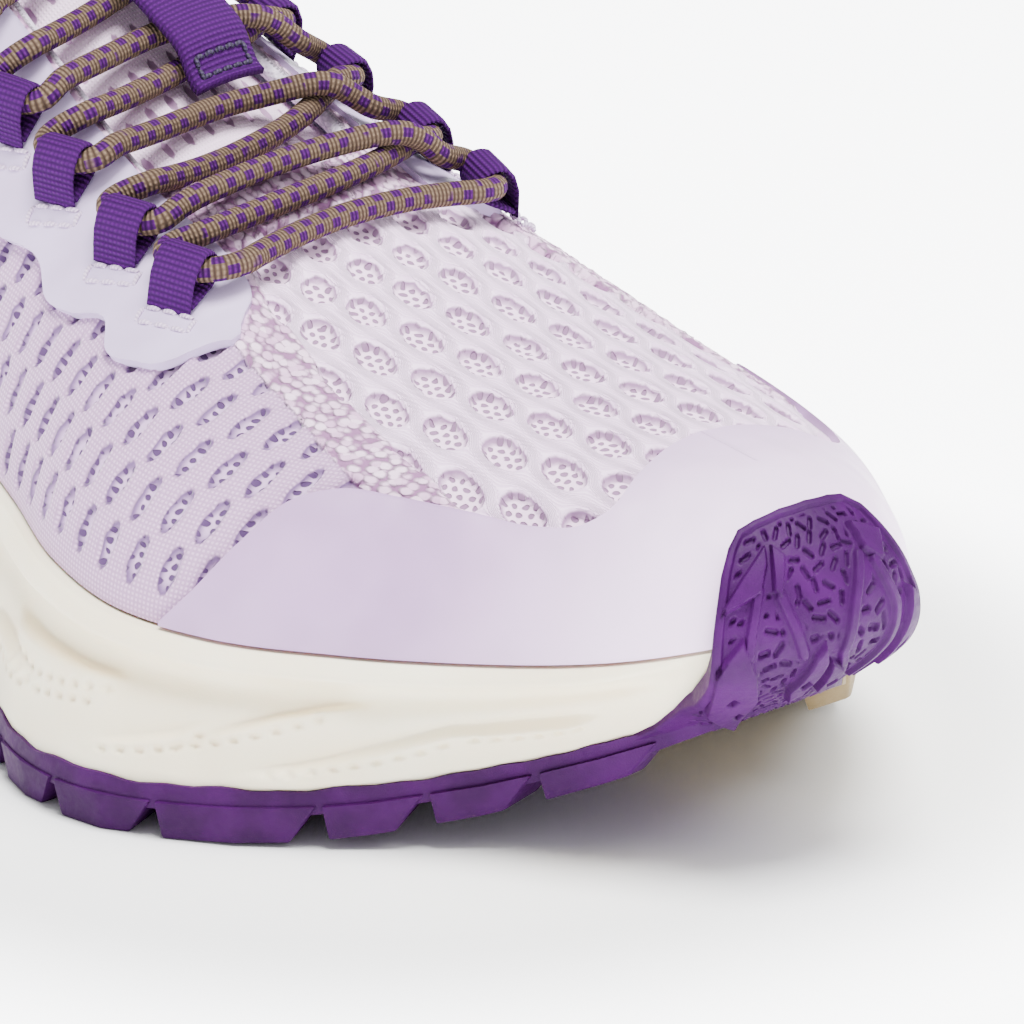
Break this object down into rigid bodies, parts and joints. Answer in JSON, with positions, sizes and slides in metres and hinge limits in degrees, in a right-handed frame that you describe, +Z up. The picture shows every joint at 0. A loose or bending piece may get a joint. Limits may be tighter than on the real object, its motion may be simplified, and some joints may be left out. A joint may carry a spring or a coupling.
{
  "type": "running shoe",
  "caption": "Right-foot trail running shoe: hollow mesh upper with film overlays, webbing lace loops and a round lace, on a foam midsole with a lugged rubber outsole and toe bumper.",
  "frame": {"origin": "on the floor, under the middle of the shoe's bounding box", "axes": "+X to the toe, +Y to the inner (medial) side, +Z up; the lug faces of heel and forefoot lie on Z = 0"},
  "size_m": [0.2726, 0.1058, 0.1163],
  "materials": {
    "purple_rubber": "moulded, matt",
    "taupe_rubber": "moulded, matt",
    "foam": "moulded foam, satin skin",
    "sockliner": "knit over foam",
    "mesh": "engineered mesh",
    "toe_film": "smooth film",
    "eyestay_film": "smooth film",
    "tongue_mesh": "padded mesh",
    "webbing": "ribbed webbing",
    "lace": "round braid with flecks"
  },
  "bodies": {
    "root": {"outsole": "purple_rubber", "outsole_insert": "taupe_rubber", "midsole": "foam", "insole": "sockliner", "upper": "mesh", "toe_overlay": "toe_film", "eyestay_lateral": "eyestay_film", "eyestay_medial": "eyestay_film", "tongue": "tongue_mesh", "lace_keeper": "webbing", "lace_bar": "lace", "lace_loop_lateral_1": "webbing", "lace_loop_lateral_2": "webbing", "lace_loop_lateral_3": "webbing", "lace_loop_lateral_4": "webbing", "lace_loop_lateral_5": "webbing", "lace_loop_lateral_6": "webbing", "lace_loop_medial_1": "webbing", "lace_loop_medial_2": "webbing", "lace_loop_medial_3": "webbing", "lace_loop_medial_4": "webbing", "lace_loop_medial_5": "webbing", "lace_loop_medial_6": "webbing", "lace_cross_1": "lace", "lace_cross_2": "lace", "lace_cross_3": "lace", "lace_cross_4": "lace", "lace_cross_5": "lace"}
  },
  "joints": []
}
